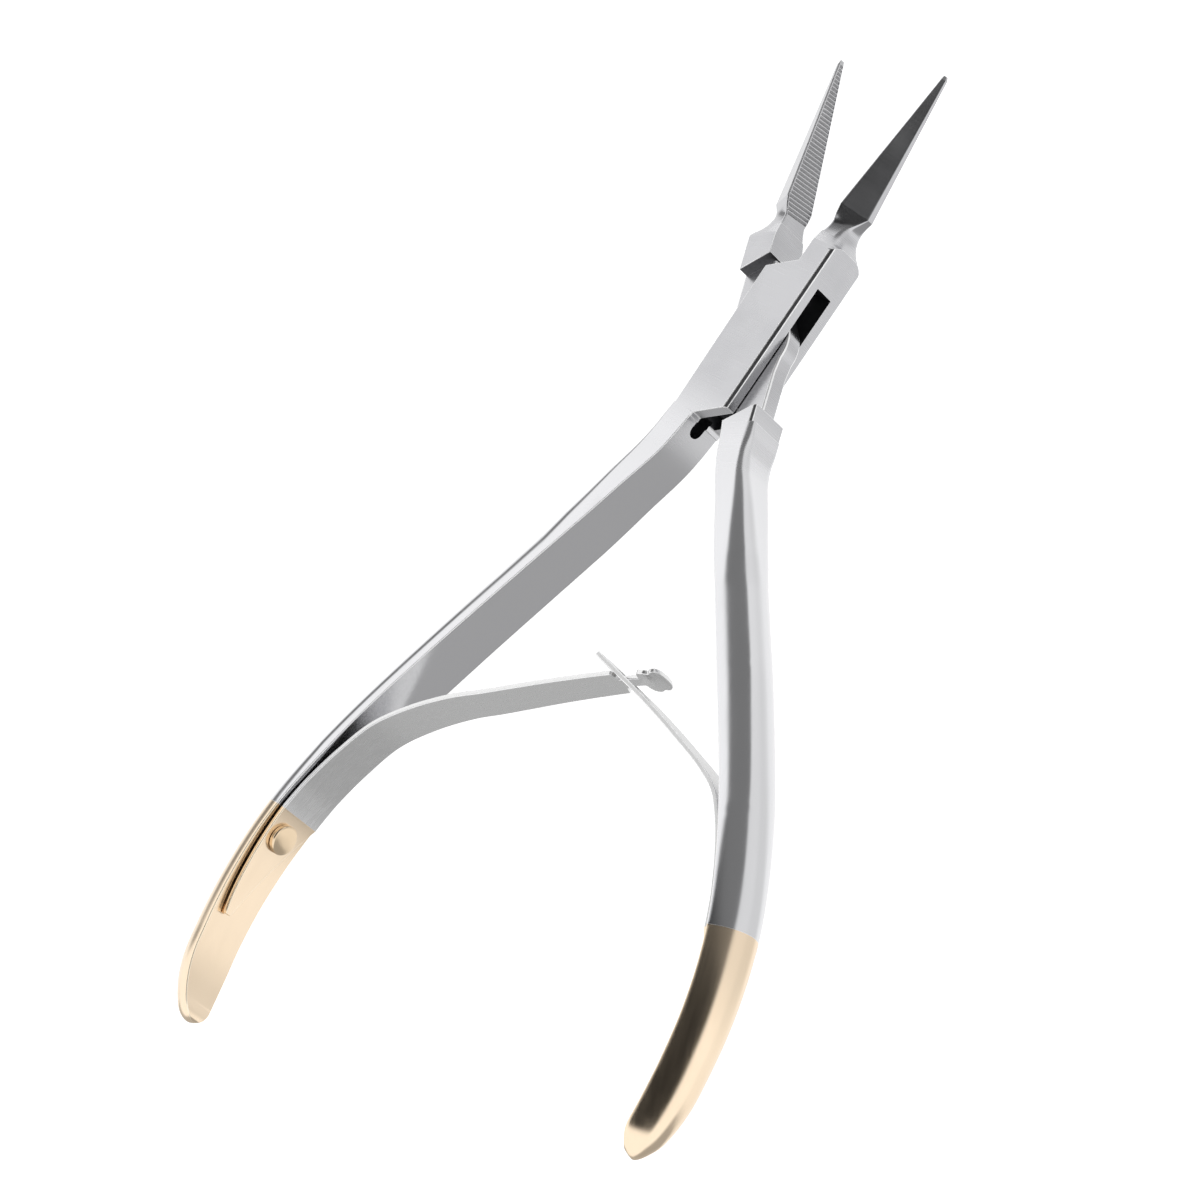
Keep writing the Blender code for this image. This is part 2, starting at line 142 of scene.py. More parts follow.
HOOK_WAIST_SPREAD = 0.09
HOOK_BACK_START = 0.8
HOOK_BACK_LENGTH = 0.2
SPRING_SLOT_LENGTH = 5.0
SPRING_SLOT_WIDTH = 1.35
SPRING_SLOT_ROUNDING = 0.9

FEMALE = -1
MALE = 1

# The inner face of a handle, as (distance from the symmetry plane, y) when closed.
HANDLE_INNER = [
    (0.2, -11.2),
    (1.1, -17.0),
    (3.1, -23.0),
    (5.1, -29.0),
    (8.4, -38.0),
    (12.6, -49.6),
    (16.7, -62.0),
    (19.1, -72.0),
    (19.9, -79.5),
    (19.5, -87.0),
    (18.2, -94.0),
    (16.9, -98.5),
    (15.3, -102.0),
]
HANDLE_TIP = {FEMALE: (13.9, -103.8), MALE: (14.6, -102.9)}
HANDLE_END_LENGTH = 9.0
HANDLE_NARROWING = {FEMALE: 0.5, MALE: 0.3}
HANDLE_NOSE_RADIUS = {FEMALE: 2.2, MALE: 3.2}
NOSE_FULLNESS = 2.4
HEART_SHARE = 0.45

# How far each forged handle stands out from that line, as (y, outward).
LEAN = {
    FEMALE: [(-11, 0.0), (-70, 0.0), (-92, 0.5), (-110, 0.5)],
    MALE: [(-11, 0.0), (-25, -0.3), (-45, -0.7), (-110, -0.8)],
}

# Thickness of each handle, as (y, thickness).
THICKNESS = {
    FEMALE: [(-11, 3.6), (-17, 3.9), (-30, 4.4), (-40, 4.0), (-60, 3.7), (-110, 3.7)],
    MALE: [
        (-11, 4.5),
        (-14, 4.45),
        (-16, 4.15),
        (-19, 4.05),
        (-30, 4.6),
        (-45, 4.9),
        (-60, 4.7),
        (-80, 4.2),
        (-110, 4.2),
    ],
}
HALF_DEPTH = [(-11, 3.2), (-17, 3.3), (-30, 3.7), (-50, 3.9), (-80, 4.1), (-94, 3.7)]
FLAT_SHARE = {
    FEMALE: [(-11, 3.5), (-17, 3.0), (-34, 0.4), (-68, 0.3), (-80, -0.9), (-110, -1.1)],
    MALE: [(-11, 3.5), (-17, 3.0), (-34, 0.4), (-62, 0.3), (-80, -2.2), (-110, -3.0)],
}
SIDE_SHARE = [(-11, 2.9), (-17, 2.0), (-34, 0.1), (-110, 0.05)]

# Material places on every piece, in this order: the face finish, a painted highlight on edges, painted
# shade in the slot, and painted shade in tooth walls and dark lines.
PAINTED_HIGHLIGHT_EDGE = 1
PAINTED_SHADE = 2
GROOVE_SHADE = 3
FINISH_COUNT = 4

# Sections of a jaw, as (y, thickness, depth at the grip, depth outside, outer rounding).
JAW_SECTIONS = [
    (12.6, 4.6, 3.6, 3.6, 0.3),
    (13.6, 4.5, 3.28, 3.28, 0.6),
    (14.4, 4.3, 3.1, 3.0, 1.2),
    (15.0, 3.8, 2.95, 2.65, 1.5),
    (15.8, 3.15, 2.7, 2.15, 1.4),
    (16.6, 2.75, 2.4, 1.75, 1.1),
    (17.6, 2.6, 2.25, 1.25, 0.8),
    (18.6, 2.9, 2.65, 0.75, 0.45),
    (19.8, 3.5, 2.95, 0.42, 0.14),
    (39.7, 0.8, 0.62, 0.14, 0.08),
    (JAW_TIP_Y, 0.55, 0.42, 0.12, 0.06),
]

# Middle lines of the leaf springs' free ends, positive towards the spring's own handle.
SPRING_PATH = {
    FEMALE: [
        (17.3, -67.6),
        (15.3, -62.9),
        (11.8, -58.9),
        (7.5, -55.4),
        (3.3, -52.8),
        (-4.4, -47.9),
        (-11.3, -43.8),
        (-14.4, -42.2),
        (-16.2, -41.5),
        (-17.4, -40.5),
    ],
    MALE: [
        (16.7, -67.2),
        (15.3, -63.0),
        (13.5, -59.4),
        (10.3, -56.1),
        (6.6, -53.1),
        (2.9, -50.2),
        (-0.9, -47.4),
        (-4.4, -45.0),
        (-6.6, -43.5),
        (-8.9, -41.9),
    ],
}

CAMERA_PLACE = (0.454884, -0.213647, 0.519077)
CAMERA_DIRECTION = (-0.64484, 0.24926, -0.72253)
CAMERA_ROLL_DEG = -48.65
CAMERA_LENS = 180.0
FLOOR_DROP = 0.16

# One dark flag beside the set: its direction, its soft edge in degrees and the light left.
FLAG_DIRECTION = (-0.94, 0.31, 0.10)
FLAG_EDGE_DEG = (17, 5)
FLAG_LIGHT = 0.2

# Soft edges of the studio light, as where each starts and ends, with the light on both sides.
GAP_LEFT_DEG = (-28, -17)
GAP_RIGHT_DEG = (37, 46)
GAP_HEIGHT = (0.15, 0.4)
GAP_NEAR_EDGE = (-0.55, -0.35)
GAP_FAR_EDGE = (0.28, 0.40)
GAP_LIGHT = (0.03, 0.23)
CROSS_EDGE = (-0.1, 0.35)
CROSS_LIGHT = (0.55, 0.465)
FRONT_EDGE = (-0.215, -0.165)
FRONT_RISE = (-0.15, -0.02)
FRONT_LIGHT = (0.96, 1.14)
HORIZON = (-0.2, 0.1)
UPPER_LIGHT = 1.22
FAR_SIDE = (0.2, 0.5)
FAR_HEIGHT = (0.2, 0.45)
FAR_DIMMING = 0.24

# Where the finish of an arm changes, as heights from one finish to the next; the second span is where
# painted light makes the base colour paler from the box down to the handle.
HANDLE_TO_BOX = (-30.0, -13.0)
BOX_TO_HANDLE_LIGHT = (-4.0, -15.0)
NECK_TO_JAW = (16.8, 19.5)
NOISE_SPAN = (0.3, 0.7)


# ---------------------------------------------------------------- shapes


def add_piece(name, bm):
    bmesh.ops.recalc_face_normals(bm, faces=bm.faces)
    mesh = bpy.data.meshes.new(name)
    bm.to_mesh(mesh)
    bm.free()
    for slot in range(FINISH_COUNT):
        mesh.materials.append(None)
    piece = bpy.data.objects.new(name, mesh)
    bpy.context.scene.collection.objects.link(piece)
    return piece


def smooth_curve(points, steps):
    """Points along a Catmull-Rom curve, in as many dimensions as the points have."""
    padded = [points[0]] + list(points) + [points[-1]]
    result = []
    for index in range(1, len(padded) - 2):
        before, start, end, after = (Vector(p) for p in padded[index - 1 : index + 3])
        for step in range(steps):
            t = step / steps
            bend = (2 * before - 5 * start + 4 * end - after) * t**2
            turn = (3 * start - before - 3 * end + after) * t**3
            result.append(0.5 * (2 * start + (end - before) * t + bend + turn))
    result.append(Vector(points[-1]))
    return result


def ramp(value, stops):
    """Linear interpolation between (position, value) stops in falling order."""
    for (start, low), (end, high) in zip(stops, stops[1:]):
        if value >= end:
            share = min(max((start - value) / (start - end), 0.0), 1.0)
            return low + (high - low) * share
    return stops[-1][1]


def rounded(corners, radii, steps):
    """A polygon with each corner turned into an arc of the given radius."""
    points = []
    for index, corner in enumerate(corners):
        here = Vector(corner)
        to_last = (Vector(corners[index - 1]) - here).normalized()
        to_next = (Vector(corners[(index + 1) % len(corners)]) - here).normalized()
        half = math.acos(max(-1.0, min(1.0, to_last.dot(to_next)))) / 2
        reach = radii[index] / math.tan(half)
        centre = here + (to_last + to_next).normalized() * (radii[index] / math.sin(half))
        first = here + to_last * reach - centre
        last = here + to_next * reach - centre
        for step in range(steps + 1):
            swing = first.slerp(last, step / steps).normalized()
            points.append(centre + swing * radii[index])
    return points


def loft(name, rings, edge_spans=(), finish=0, groove_rings=(), groove_index=-1):
    """A closed body through rings, with edge spans in a painted highlight and one strip of tooth walls
    in painted shade.
    """
    bm = bmesh.new()
    loops = [[bm.verts.new(Vector(point)) for point in ring] for ring in rings]
    count = len(loops[0])
    for level, (lower, upper) in enumerate(zip(loops, loops[1:])):
        for index in range(count):
            after = (index + 1) % count
            face = bm.faces.new((lower[index], lower[after], upper[after], upper[index]))
            # Edge spans get the painted highlight.
            bright = any(start <= index < end for start, end in edge_spans)
            face.material_index = PAINTED_HIGHLIGHT_EDGE if bright else finish
            # The tooth walls get painted shade.
            if level in groove_rings and index == groove_index:
                face.material_index = GROOVE_SHADE
    bm.faces.new(loops[0])
    bm.faces.new(loops[-1])
    bmesh.ops.triangulate(bm, faces=bm.faces)
    return add_piece(name, bm)


def plate(name, outline, low, high, edge=0.0, chamfer=0.0, chamfer_at=None, finish=0):
    """A flat outline as a slab, with softened edges in a painted highlight and one wider chamfer in
    painted shade.
    """
    bm = bmesh.new()
    bottom = [bm.verts.new((x, y, low)) for x, y in outline]
    top = [bm.verts.new((x, y, high)) for x, y in outline]
    count = len(outline)
    for index in range(count):
        after = (index + 1) % count
        bm.faces.new((bottom[index], bottom[after], top[after], top[index]))
    bm.faces.new(bottom)
    bm.faces.new(top)
    for face in bm.faces:
        face.material_index = finish
    bmesh.ops.recalc_face_normals(bm, faces=bm.faces)
    if chamfer:
        wide = [e for e in bm.edges if all(chamfer_at(v.co) for v in e.verts)]
        made = bmesh.ops.bevel(
            bm, geom=wide, offset=chamfer, segments=1, affect="EDGES", profile=0.5
        )
        # The chamfer's faces get painted shade, standing in for its dark reflection.
        for face in made["faces"]:
            face.material_index = GROOVE_SHADE
        for vert in {v for face in made["faces"] for v in face.verts}:
            if vert.co.z > high - 1e-5:
                vert.co.x -= chamfer * CHAMFER_LEAN_IN
            else:
                vert.co.z += chamfer * CHAMFER_LEAN_UP
    if edge:
        # The softened edges get the painted highlight.
        bmesh.ops.bevel(
            bm,
            geom=[e for e in bm.edges if e.calc_face_angle(0.0) > math.radians(20)],
            offset=edge,
            segments=2,
            affect="EDGES",
            profile=0.5,
            material=PAINTED_HIGHLIGHT_EDGE,
        )
    return add_piece(name, bm)


def combine(target, other, operation):
    """Apply a Boolean of two objects to the first one, and remove the second."""
    modifier = target.modifiers.new(operation.lower(), "BOOLEAN")
    modifier.operation = operation
    modifier.solver = "EXACT"
    modifier.object = other
    bpy.context.view_layer.update()
    depsgraph = bpy.context.evaluated_depsgraph_get()
    mesh = bpy.data.meshes.new_from_object(target.evaluated_get(depsgraph))
    target.modifiers.clear()
    target.data = mesh
    bpy.data.objects.remove(other)


def turned_outline(points):
    """The same points, turned half a turn about the pivot."""
    return [(-x, -y) for x, y in points]


def inner_line(side, steps):
    points = smooth_curve(HANDLE_INNER + [HANDLE_TIP[side]], steps)
    return [Vector((p.x + ramp(p.y, LEAN[side]), p.y)) for p in points]


def handle_section(thickness, half_depth, flat, side_depth):
    """D-shaped section: flat inner face at 0, softened inner edges, elliptic outer corners."""
    corner_steps = 4
    outer_steps = 16
    edge = min(EDGE_RADIUS, thickness * 0.3, half_depth * 0.3)
    points = []
    for step in range(corner_steps + 1):
        angle = math.pi / 2 * step / corner_steps
        points.append((edge - edge * math.cos(angle), half_depth - edge + edge * math.sin(angle)))
    reach = thickness - flat
    first = math.acos(max(edge * 1.2 - flat, 0.0) / reach)
    top = side_depth + (half_depth - side_depth) * math.sin(first)
    points = [(across, depth + top - half_depth) for across, depth in points]
    for step in range(outer_steps + 1):
        angle = first * (1 - step / outer_steps)
        depth = side_depth + (half_depth - side_depth) * math.sin(angle)
        points.append((flat + reach * math.cos(angle), depth))
    mirrored = [(across, -depth) for across, depth in reversed(points)]
    return points + mirrored, (0, corner_steps)


def path_lengths(line):
    lengths = [0.0]
    for start, end in zip(line, line[1:]):
        lengths.append(lengths[-1] + (end - start).length)
    return lengths


def direction_at(line, index):
    before = line[max(index - 1, 0)]
    after = line[min(index + 1, len(line) - 1)]
    return (after - before).normalized()


def point_at(line, lengths, distance):
    """The point at a distance along a line."""
    for index in range(1, len(line)):
        if lengths[index] >= distance:
            share = (distance - lengths[index - 1]) / (lengths[index] - lengths[index - 1])
            return line[index - 1].lerp(line[index], share)
    return line[-1].copy()


def handle_stations(side):
    """Points along the inner face, closer together over the rounded nose."""
    line = inner_line(side, 14)
    lengths = path_lengths(line)
    radius = HANDLE_NOSE_RADIUS[side]
    stations = [(p, lengths[-1] - s) for p, s in zip(line, lengths) if s < lengths[-1] - radius]
    steps = 16
    for step in range(steps):
        rest = radius * (1 - math.sin(math.pi / 2 * step / steps))
        stations.append((point_at(line, lengths, lengths[-1] - rest), rest))
    last = radius * 0.0008
    stations.append((point_at(line, lengths, lengths[-1] - last), last))
    return stations


def forged_handle(name, side, start_y=None):
    """The handle from the box joint to its rounded nose."""
    stations = handle_stations(side)
    line = [point for point, rest in stations]
    rings = []
    span = (0, 0)
    for index, (point, rest) in enumerate(stations):
        if start_y is not None and point.y > start_y:
            continue
        tangent = direction_at(line, index)
        outward = Vector((-tangent.y, tangent.x)) if index else Vector((1.0, 0.0))
        if outward.x < 0:
            outward = -outward
        narrowing = 1 - HANDLE_NARROWING[side] * (1 - min(rest / HANDLE_END_LENGTH, 1.0)) ** 2
        thickness = ramp(point.y, THICKNESS[side]) * narrowing
        half_depth = ramp(point.y, HALF_DEPTH) * narrowing
        flat = ramp(point.y, FLAT_SHARE[side]) * narrowing
        side_depth = ramp(point.y, SIDE_SHARE) * narrowing
        section, span = handle_section(thickness, half_depth, flat, side_depth)
        short = 1 - min(rest / HANDLE_NOSE_RADIUS[side], 1.0)
        nose = (1 - short**NOSE_FULLNESS) ** (1 / NOSE_FULLNESS)
        heart = thickness * HEART_SHARE
        ring = []
        for across, depth in section:
            across = heart + (across - heart) * nose
            place = point + outward * across
            ring.append((side * place.x, place.y, depth * nose))
        rings.append(ring)
    count = len(rings[0])
    spans = [span, (count - 1 - span[1], count - 1)]
    return loft(name, rings, spans)


def jaw_stations():
    """Heights of the jaw's sections: a smooth neck, then one crest and one root a tooth."""
    stations = smooth_curve([Vector(section) for section in JAW_SECTIONS[:-2]], 7)
    base, tip, end = (Vector(section) for section in JAW_SECTIONS[-3:])
    heights = []
    for tooth in range(TOOTH_COUNT):
        heights += [TEETH_START_Y + TEETH_PITCH * (tooth + share) for share in TOOTH_SHARES]
    neck_heights = [station[0] for station in stations]
    for y in heights:
        if y < base[0]:
            after = next(i for i, height in enumerate(neck_heights) if height > y)
            low, high = stations[after - 1], stations[after]
            stations.insert(after, low.lerp(high, (y - low[0]) / (high[0] - low[0])))
            neck_heights.insert(after, y)
        elif base[0] + 0.02 < y < tip[0]:
            stations.append(base.lerp(tip, (y - base[0]) / (tip[0] - base[0])))
    return stations + [tip, end]


def tooth_depth(y):
    """Depth of the cross-cut teeth at height y: V grooves with narrow flat crests."""
    if y < TEETH_START_Y or y > TEETH_END_Y:
        return 0.0
    phase = (y - TEETH_START_Y) / TEETH_PITCH % 1.0
    return TEETH_DEPTH * max(0.0, 1 - abs(phase - 0.5) / TOOTH_HALF_WIDTH)


def jaw_ring(side, station, inner, steps):
    """A jaw's section; the teeth are sunk between two narrow lands and run a little askew."""
    y, thickness, at_grip, outside, rounding = station
    inner_radius = 0.5 if inner < 0 else min(0.16, at_grip * 0.25)
    outer_radius = min(rounding, thickness * 0.6, outside * 0.9)
    lean = (at_grip - outside) / (thickness - JAW_CLEARANCE)
    root = at_grip + lean * (JAW_CLEARANCE - inner)
    corners = ((inner, root), (thickness, outside), (thickness, -outside), (inner, -root))
    radii = (inner_radius, outer_radius, outer_radius, inner_radius)
    ring = [(side * p.x, y, p.y) for p in rounded(corners, radii, steps)]
    with_margins = []
    for index, point in enumerate(ring):
        with_margins.append(point)
        if index in (steps, 3 * steps + 2):
            after = Vector(ring[index + 1])
            with_margins += [tuple(Vector(point).lerp(after, share)) for share in GRIP_MARGINS]
    ring = with_margins
    cut = tooth_depth(y)
    edge = ring[0][2] - TOOTH_LAND
    rise = (y - GRIP_START_Y) / TOOTH_TILT_RISE
    fall = (JAW_TIP_Y - y) / TOOTH_TILT_FALL
    skew = TOOTH_TILT * max(0.0, min(1.0, rise, fall))
    for depth in (-edge, edge):
        ring.append((side * (inner + cut), y - skew * depth, depth))
    return ring


def jaw_stock(name, side):
    """Everything of one arm that the jaw's outer shape leaves standing."""
    steps = 3
    block = (STOCK_REACH, STOCK_DEPTH, STOCK_DEPTH, STOCK_ROUNDING)
    rings = [jaw_ring(side, (y, *block), -STOCK_REACH, steps) for y in STOCK_LEVELS]
    grooves = []
    for station in jaw_stations():
        y = station[0]
        inner = -STOCK_REACH if y < GRIP_START_Y else JAW_CLEARANCE
        phase = (y - TEETH_START_Y) / TEETH_PITCH % 1.0
        if TEETH_START_Y < y < GROOVE_END_Y and GROOVE_SHARES[0] < phase < GROOVE_SHARES[1]:
            grooves.append(len(rings))
        rings.append(jaw_ring(side, tuple(station), inner, steps))
    return loft(name, rings, groove_rings=grooves, groove_index=len(rings[0]) - 2)


def female_arm():
    """The arm with the box: two cheeks, the slot between them, its jaw and its handle."""
    inner = BLANK_GRIP_X
    top = JAW_TIP_Y + BLANK_OVERRUN
    outline = [(-BOX_WIDTH, SHOULDER_OUTER_Y), (inner, SHOULDER_INNER_Y), (inner, top)]
    outline += [(BOX_WIDTH, top), (BOX_WIDTH, -SHOULDER_OUTER_Y)]
    outline += [(-inner, -SHOULDER_INNER_Y), (-inner, -SHOULDER_INNER_Y - BOX_TAIL_STEP)]
    outline += [(-BOX_WIDTH + BOX_TAIL_NARROWING, -SHOULDER_INNER_Y - BOX_TAIL_LENGTH)]
    arm = plate(
        "left_arm",
        outline,
        -BOX_DEPTH,
        BOX_DEPTH,
        edge=BLANK_EDGE,
        chamfer=BOX_CHAMFER,
        chamfer_at=lambda co: co.x > BOX_WIDTH - 0.1 and co.z > 0,
    )
    combine(arm, jaw_stock("left_jaw_stock", 1), "INTERSECT")
    combine(arm, forged_handle("left_handle", FEMALE), "UNION")
    past = BOX_WIDTH + 2
    upper = [(past, SLOT_END_Y), (0.0, SLOT_END_Y)]
    upper += [(0.0, SHOULDER_INNER_Y + 1), (-past, SHOULDER_INNER_Y + 1)]
    outline = upper + turned_outline(upper)
    # The slot's walls get painted shade.
    slot = plate("box_slot", outline, -SLOT_DEPTH, SLOT_DEPTH, finish=PAINTED_SHADE)
    combine(arm, slot, "DIFFERENCE")
    combine(arm, slot_run_out(), "DIFFERENCE")
    return arm


def slot_run_out():
    """The round end that the slot's cutter leaves in the inner face of the female handle."""
    near, far = RUN_OUT_Y
    high, low = RUN_OUT_DEPTH
    end = RUN_OUT_RADIUS - 0.01
    rings = []
    for x in RUN_OUT_X:
        outline = [(near, high), (far, high), (far, low), (near, low)]
        arcs = rounded(outline, (0.05, end, end, 0.05), 8)
        rings.append([(x, p.x, p.y) for p in arcs])
    # The run-out's walls get painted shade.
    return loft("slot_run_out", rings, finish=PAINTED_SHADE)


def neck_outline():
    """The thin neck of the male arm, with rounded flanks that turn about the pivot."""
    flank = [(NECK_REACH, -SHOULDER_OUTER_Y - 1.0), (NECK_REACH, -4.0)]
    for angle in range(-24, 28, 4):
        turn = math.radians(angle)
        flank.append((NECK_TURN_RADIUS * math.cos(turn), NECK_TURN_RADIUS * math.sin(turn)))
    flank += [(2.9, 5.2), (-0.3, SLOT_END_Y - 0.3), (-0.3, SHOULDER_INNER_Y + 1.5)]
    return flank + turned_outline(flank)


def male_arm():
    """The arm whose thin neck passes through the box, with its jaw and its handle."""
    inner = BLANK_GRIP_X
    top = JAW_TIP_Y + BLANK_OVERRUN
    outer_y = SHOULDER_OUTER_Y + SHOULDER_GAP
    inner_y = SHOULDER_INNER_Y + SHOULDER_GAP
    head = [(-BOX_WIDTH, outer_y), (-inner, inner_y), (-inner, top), (-BOX_WIDTH, top)]
    arm = plate("right_arm", head, -BOX_DEPTH, BOX_DEPTH, edge=BLANK_EDGE)
    # The shoulder face towards the box gets painted shade.
    for face in arm.data.polygons:
        if face.normal.y < -0.7 and abs(face.normal.z) < 0.1:
            face.material_index = GROOVE_SHADE
    combine(arm, jaw_stock("right_jaw_stock", -1), "INTERSECT")
    neck = plate("neck", neck_outline(), -NECK_DEPTH, NECK_DEPTH, edge=NECK_EDGE)
    # Neck faces deep inside the box get painted shade.
    for face in neck.data.polygons:
        if face.center.x * face.center.y > 0 and abs(face.center.y) > NECK_SHADE_Y:
            face.material_index = PAINTED_SHADE
    combine(arm, neck, "UNION")
    wide = BOX_WIDTH + SHOULDER_OVERHANG
    shoulder = [(wide, -outer_y), (inner, -inner_y)]
    shoulder += [(inner + SHOULDER_FOOT_INSET, -inner_y - SHOULDER_FOOT_INNER)]
    shoulder += [(wide, -inner_y - SHOULDER_FOOT_OUTER)]
    lower = plate(
        "shoulder",
        shoulder,
        -BOX_DEPTH,
        BOX_DEPTH,
        edge=SHOULDER_EDGE,
        chamfer=SHOULDER_CHAMFER,
        chamfer_at=lambda co: co.x > wide - 0.1 and co.z > 0,
    )
    combine(arm, lower, "UNION")
    combine(arm, forged_handle("right_handle", MALE, -inner_y - 0.3), "UNION")
    return arm


def inner_face_x(side, y):
    """Distance of a handle's inner face from the symmetry plane at height y."""
    path = inner_line(side, 8)
    for start, end in zip(path, path[1:]):
        if end.y <= y <= start.y:
            share = (start.y - y) / (start.y - end.y)
            return start.x + (end.x - start.x) * share
    return path[-1].x


def spring_line(side):
    lift = SPRING_GAP + SPRING_THICKNESS / 2
    seat = []
    steps = 6
    for step in range(steps + 1):
        y = TONGUE_TIP_Y + (SPRING_SEAT_END_Y - TONGUE_TIP_Y) * step / steps
        seat.append((inner_face_x(side, y) - lift, y))
    return smooth_curve(seat + SPRING_PATH[side], 12)


def leaf_widths(length, total):
    """A pointed tongue that widens to the full width, then narrows to the tip."""
    if length < TONGUE_LENGTH:
        share = length / TONGUE_LENGTH
        tip_high = TONGUE_TIP_DEPTH + 0.4
        tip_low = TONGUE_TIP_DEPTH - 0.4
        high = tip_high + (SPRING_BASE_WIDTH - tip_high) * share**0.5
        low = tip_low - (SPRING_BASE_WIDTH + tip_low) * share
        return low, high
    share = (length - TONGUE_LENGTH) / (total - TONGUE_LENGTH)
    half = SPRING_BASE_WIDTH + (SPRING_TIP_WIDTH - SPRING_BASE_WIDTH) * share
    return -half, half


def hook_widths(length, total):
    """The left leaf ends in a narrow neck and a head with two round lobes."""
    rest = total - length
    if rest < HOOK_HEAD_LENGTH:
        share = rest / HOOK_HEAD_LENGTH
        end = math.sqrt(max(1 - (1 - min(share / HOOK_ROUND_SHARE, 1.0)) ** 2, 0.0))
        off_waist = (share - HOOK_WAIST_PLACE) / HOOK_WAIST_SPREAD
        waist = 1 - HOOK_WAIST_DEPTH * math.exp(-(off_waist**2))
        past_back = max((share - HOOK_BACK_START) / HOOK_BACK_LENGTH, 0.0)
        back = math.sqrt(max(1 - past_back**2, 0.0))
        half = HOOK_NECK_WIDTH + (HOOK_HEAD_WIDTH - HOOK_NECK_WIDTH) * back
        half = half * waist * (HOOK_END_SHARE + (1 - HOOK_END_SHARE) * end)
        return -half, half
    if rest < HOOK_HEAD_LENGTH + HOOK_NECK_LENGTH:
        return -HOOK_NECK_WIDTH, HOOK_NECK_WIDTH
    return leaf_widths(length, total)


def leaf_spring(name, side, widths):
    """A leaf of constant thickness with softened edges, along its middle line."""
    half = SPRING_THICKNESS / 2
    line = spring_line(side)
    lengths = path_lengths(line)
    rings = []
    steps = 3
    for index, point in enumerate(line):
        tangent = direction_at(line, index)
        across = Vector((-tangent.y, tangent.x))
        low, high = widths(lengths[index], lengths[-1])
        corners = ((half, high), (-half, high), (-half, low), (half, low))
        section = rounded(corners, (SPRING_EDGE,) * 4, steps)
        rings.append(
            [(side * (point.x + across.x * p.x), point.y + across.y * p.x, p.y) for p in section]
        )
    spans = [(k * (steps + 1), k * (steps + 1) + steps) for k in range(4)]
    return loft(name, rings, spans)


def right_leaf_widths(length, total):
    """The right leaf is a little narrower, and its tongue points the other way."""
    low, high = leaf_widths(length, total)
    return -high + RIGHT_LEAF_NARROWING, -low - RIGHT_LEAF_NARROWING


def left_leaf():
    return leaf_spring("left_leaf", FEMALE, hook_widths)


def right_leaf():
    """The right leaf has a slot near its tip for the left one's hook."""
    leaf = leaf_spring("right_leaf", MALE, right_leaf_widths)
    before, crossing, after = (Vector(place) for place in SPRING_PATH[MALE][6:9])
    along = (after - before).normalized()
    across = Vector((-along.y, along.x))
    half = SPRING_SLOT_LENGTH / 2
    corners = ((-half, SPRING_SLOT_WIDTH), (half, SPRING_SLOT_WIDTH))
    corners += ((half, -SPRING_SLOT_WIDTH), (-half, -SPRING_SLOT_WIDTH))
    opening = rounded(corners, (SPRING_SLOT_ROUNDING,) * 4, 6)
    rings = []
    for push in (-2.0, 2.0):
        middle = crossing + across * push
        rings.append([(middle.x + along.x * p.x, middle.y + along.y * p.x, p.y) for p in opening])
    combine(leaf, loft("leaf_slot", rings), "DIFFERENCE")
    return leaf


def rivet_head(name, side):
    """A low domed head with a rolled edge, standing on the spring."""
    seat = SPRING_GAP + SPRING_THICKNESS + RIVET_SEAT_GAP
    top = seat + RIVET_HEAD_HEIGHT
    profile = [(0.0, top)]
    dome_steps = 10
    for step in range(1, dome_steps + 1):
        share = step / dome_steps
        radius = RIVET_HEAD_RADIUS * RIVET_DOME_SHARE * share
        profile.append((radius, top - RIVET_DOME_DROP * share**2.5))
    rim = RIVET_HEAD_RADIUS * RIVET_RIM_SHARE
    rim_steps = 7
    for step in range(1, rim_steps + 1):
        angle = math.pi / 2 * step / rim_steps
        drop = RIVET_RIM_DROP * (1 - math.cos(angle))
        radius = RIVET_HEAD_RADIUS - rim + rim * math.sin(angle)
        profile.append((radius, top - RIVET_DOME_DROP - drop))
    profile.append((RIVET_HEAD_RADIUS, seat + RIVET_FOOT_HEIGHT))
    profile.append((RIVET_HEAD_RADIUS - RIVET_FOOT_INSET, seat))
    bm = bmesh.new()
    segments = RIVET_SEGMENTS
    rings = []
    apex = bm.verts.new((0.0, 0.0, top))
    for radius, z in profile[1:]:
        ring = []
        for step in range(segments):
            turn = 2 * math.pi * step / segments
            ring.append(bm.verts.new((radius * math.cos(turn), radius * math.sin(turn), z)))
        rings.append(ring)
    for step in range(segments):
        after = (step + 1) % segments
        bm.faces.new((apex, rings[0][step], rings[0][after]))
        for upper, lower in zip(rings, rings[1:]):
            bm.faces.new((upper[step], lower[step], lower[after], upper[after]))
    bm.faces.new(rings[-1])
    lift = Matrix.Translation((side * inner_face_x(side, RIVET_Y), RIVET_Y, -side * RIVET_LIFT))
    bm.transform(lift @ Matrix.Rotation(math.radians(-90 * side), 4, "Y"))
    return add_piece(name, bm)


def cut_at(piece, y, keep_above):
    """Keep one side of the plane at height y, and close the cut."""
    bm = bmesh.new()
    bm.from_mesh(piece.data)
    geometry = list(bm.verts) + list(bm.edges) + list(bm.faces)
    cut = bmesh.ops.bisect_plane(
        bm,
        geom=geometry,
        plane_co=(0, y, 0),
        plane_no=(0, 1, 0),
        clear_outer=not keep_above,
        clear_inner=keep_above,
        dist=1e-5,
    )
    edges = [e for e in cut["geom_cut"] if isinstance(e, bmesh.types.BMEdge)]
    bmesh.ops.holes_fill(bm, edges=edges)
    bm.to_mesh(piece.data)
    bm.free()


def split_at_plating(piece, end_name):
    """The plated end as its own piece, cut square across the arm."""
    end = piece.copy()
    end.name = end_name
    end.data = piece.data.copy()
    bpy.context.scene.collection.objects.link(end)
    cut_at(piece, PLATING_Y, True)
    cut_at(end, PLATING_Y, False)
    return end


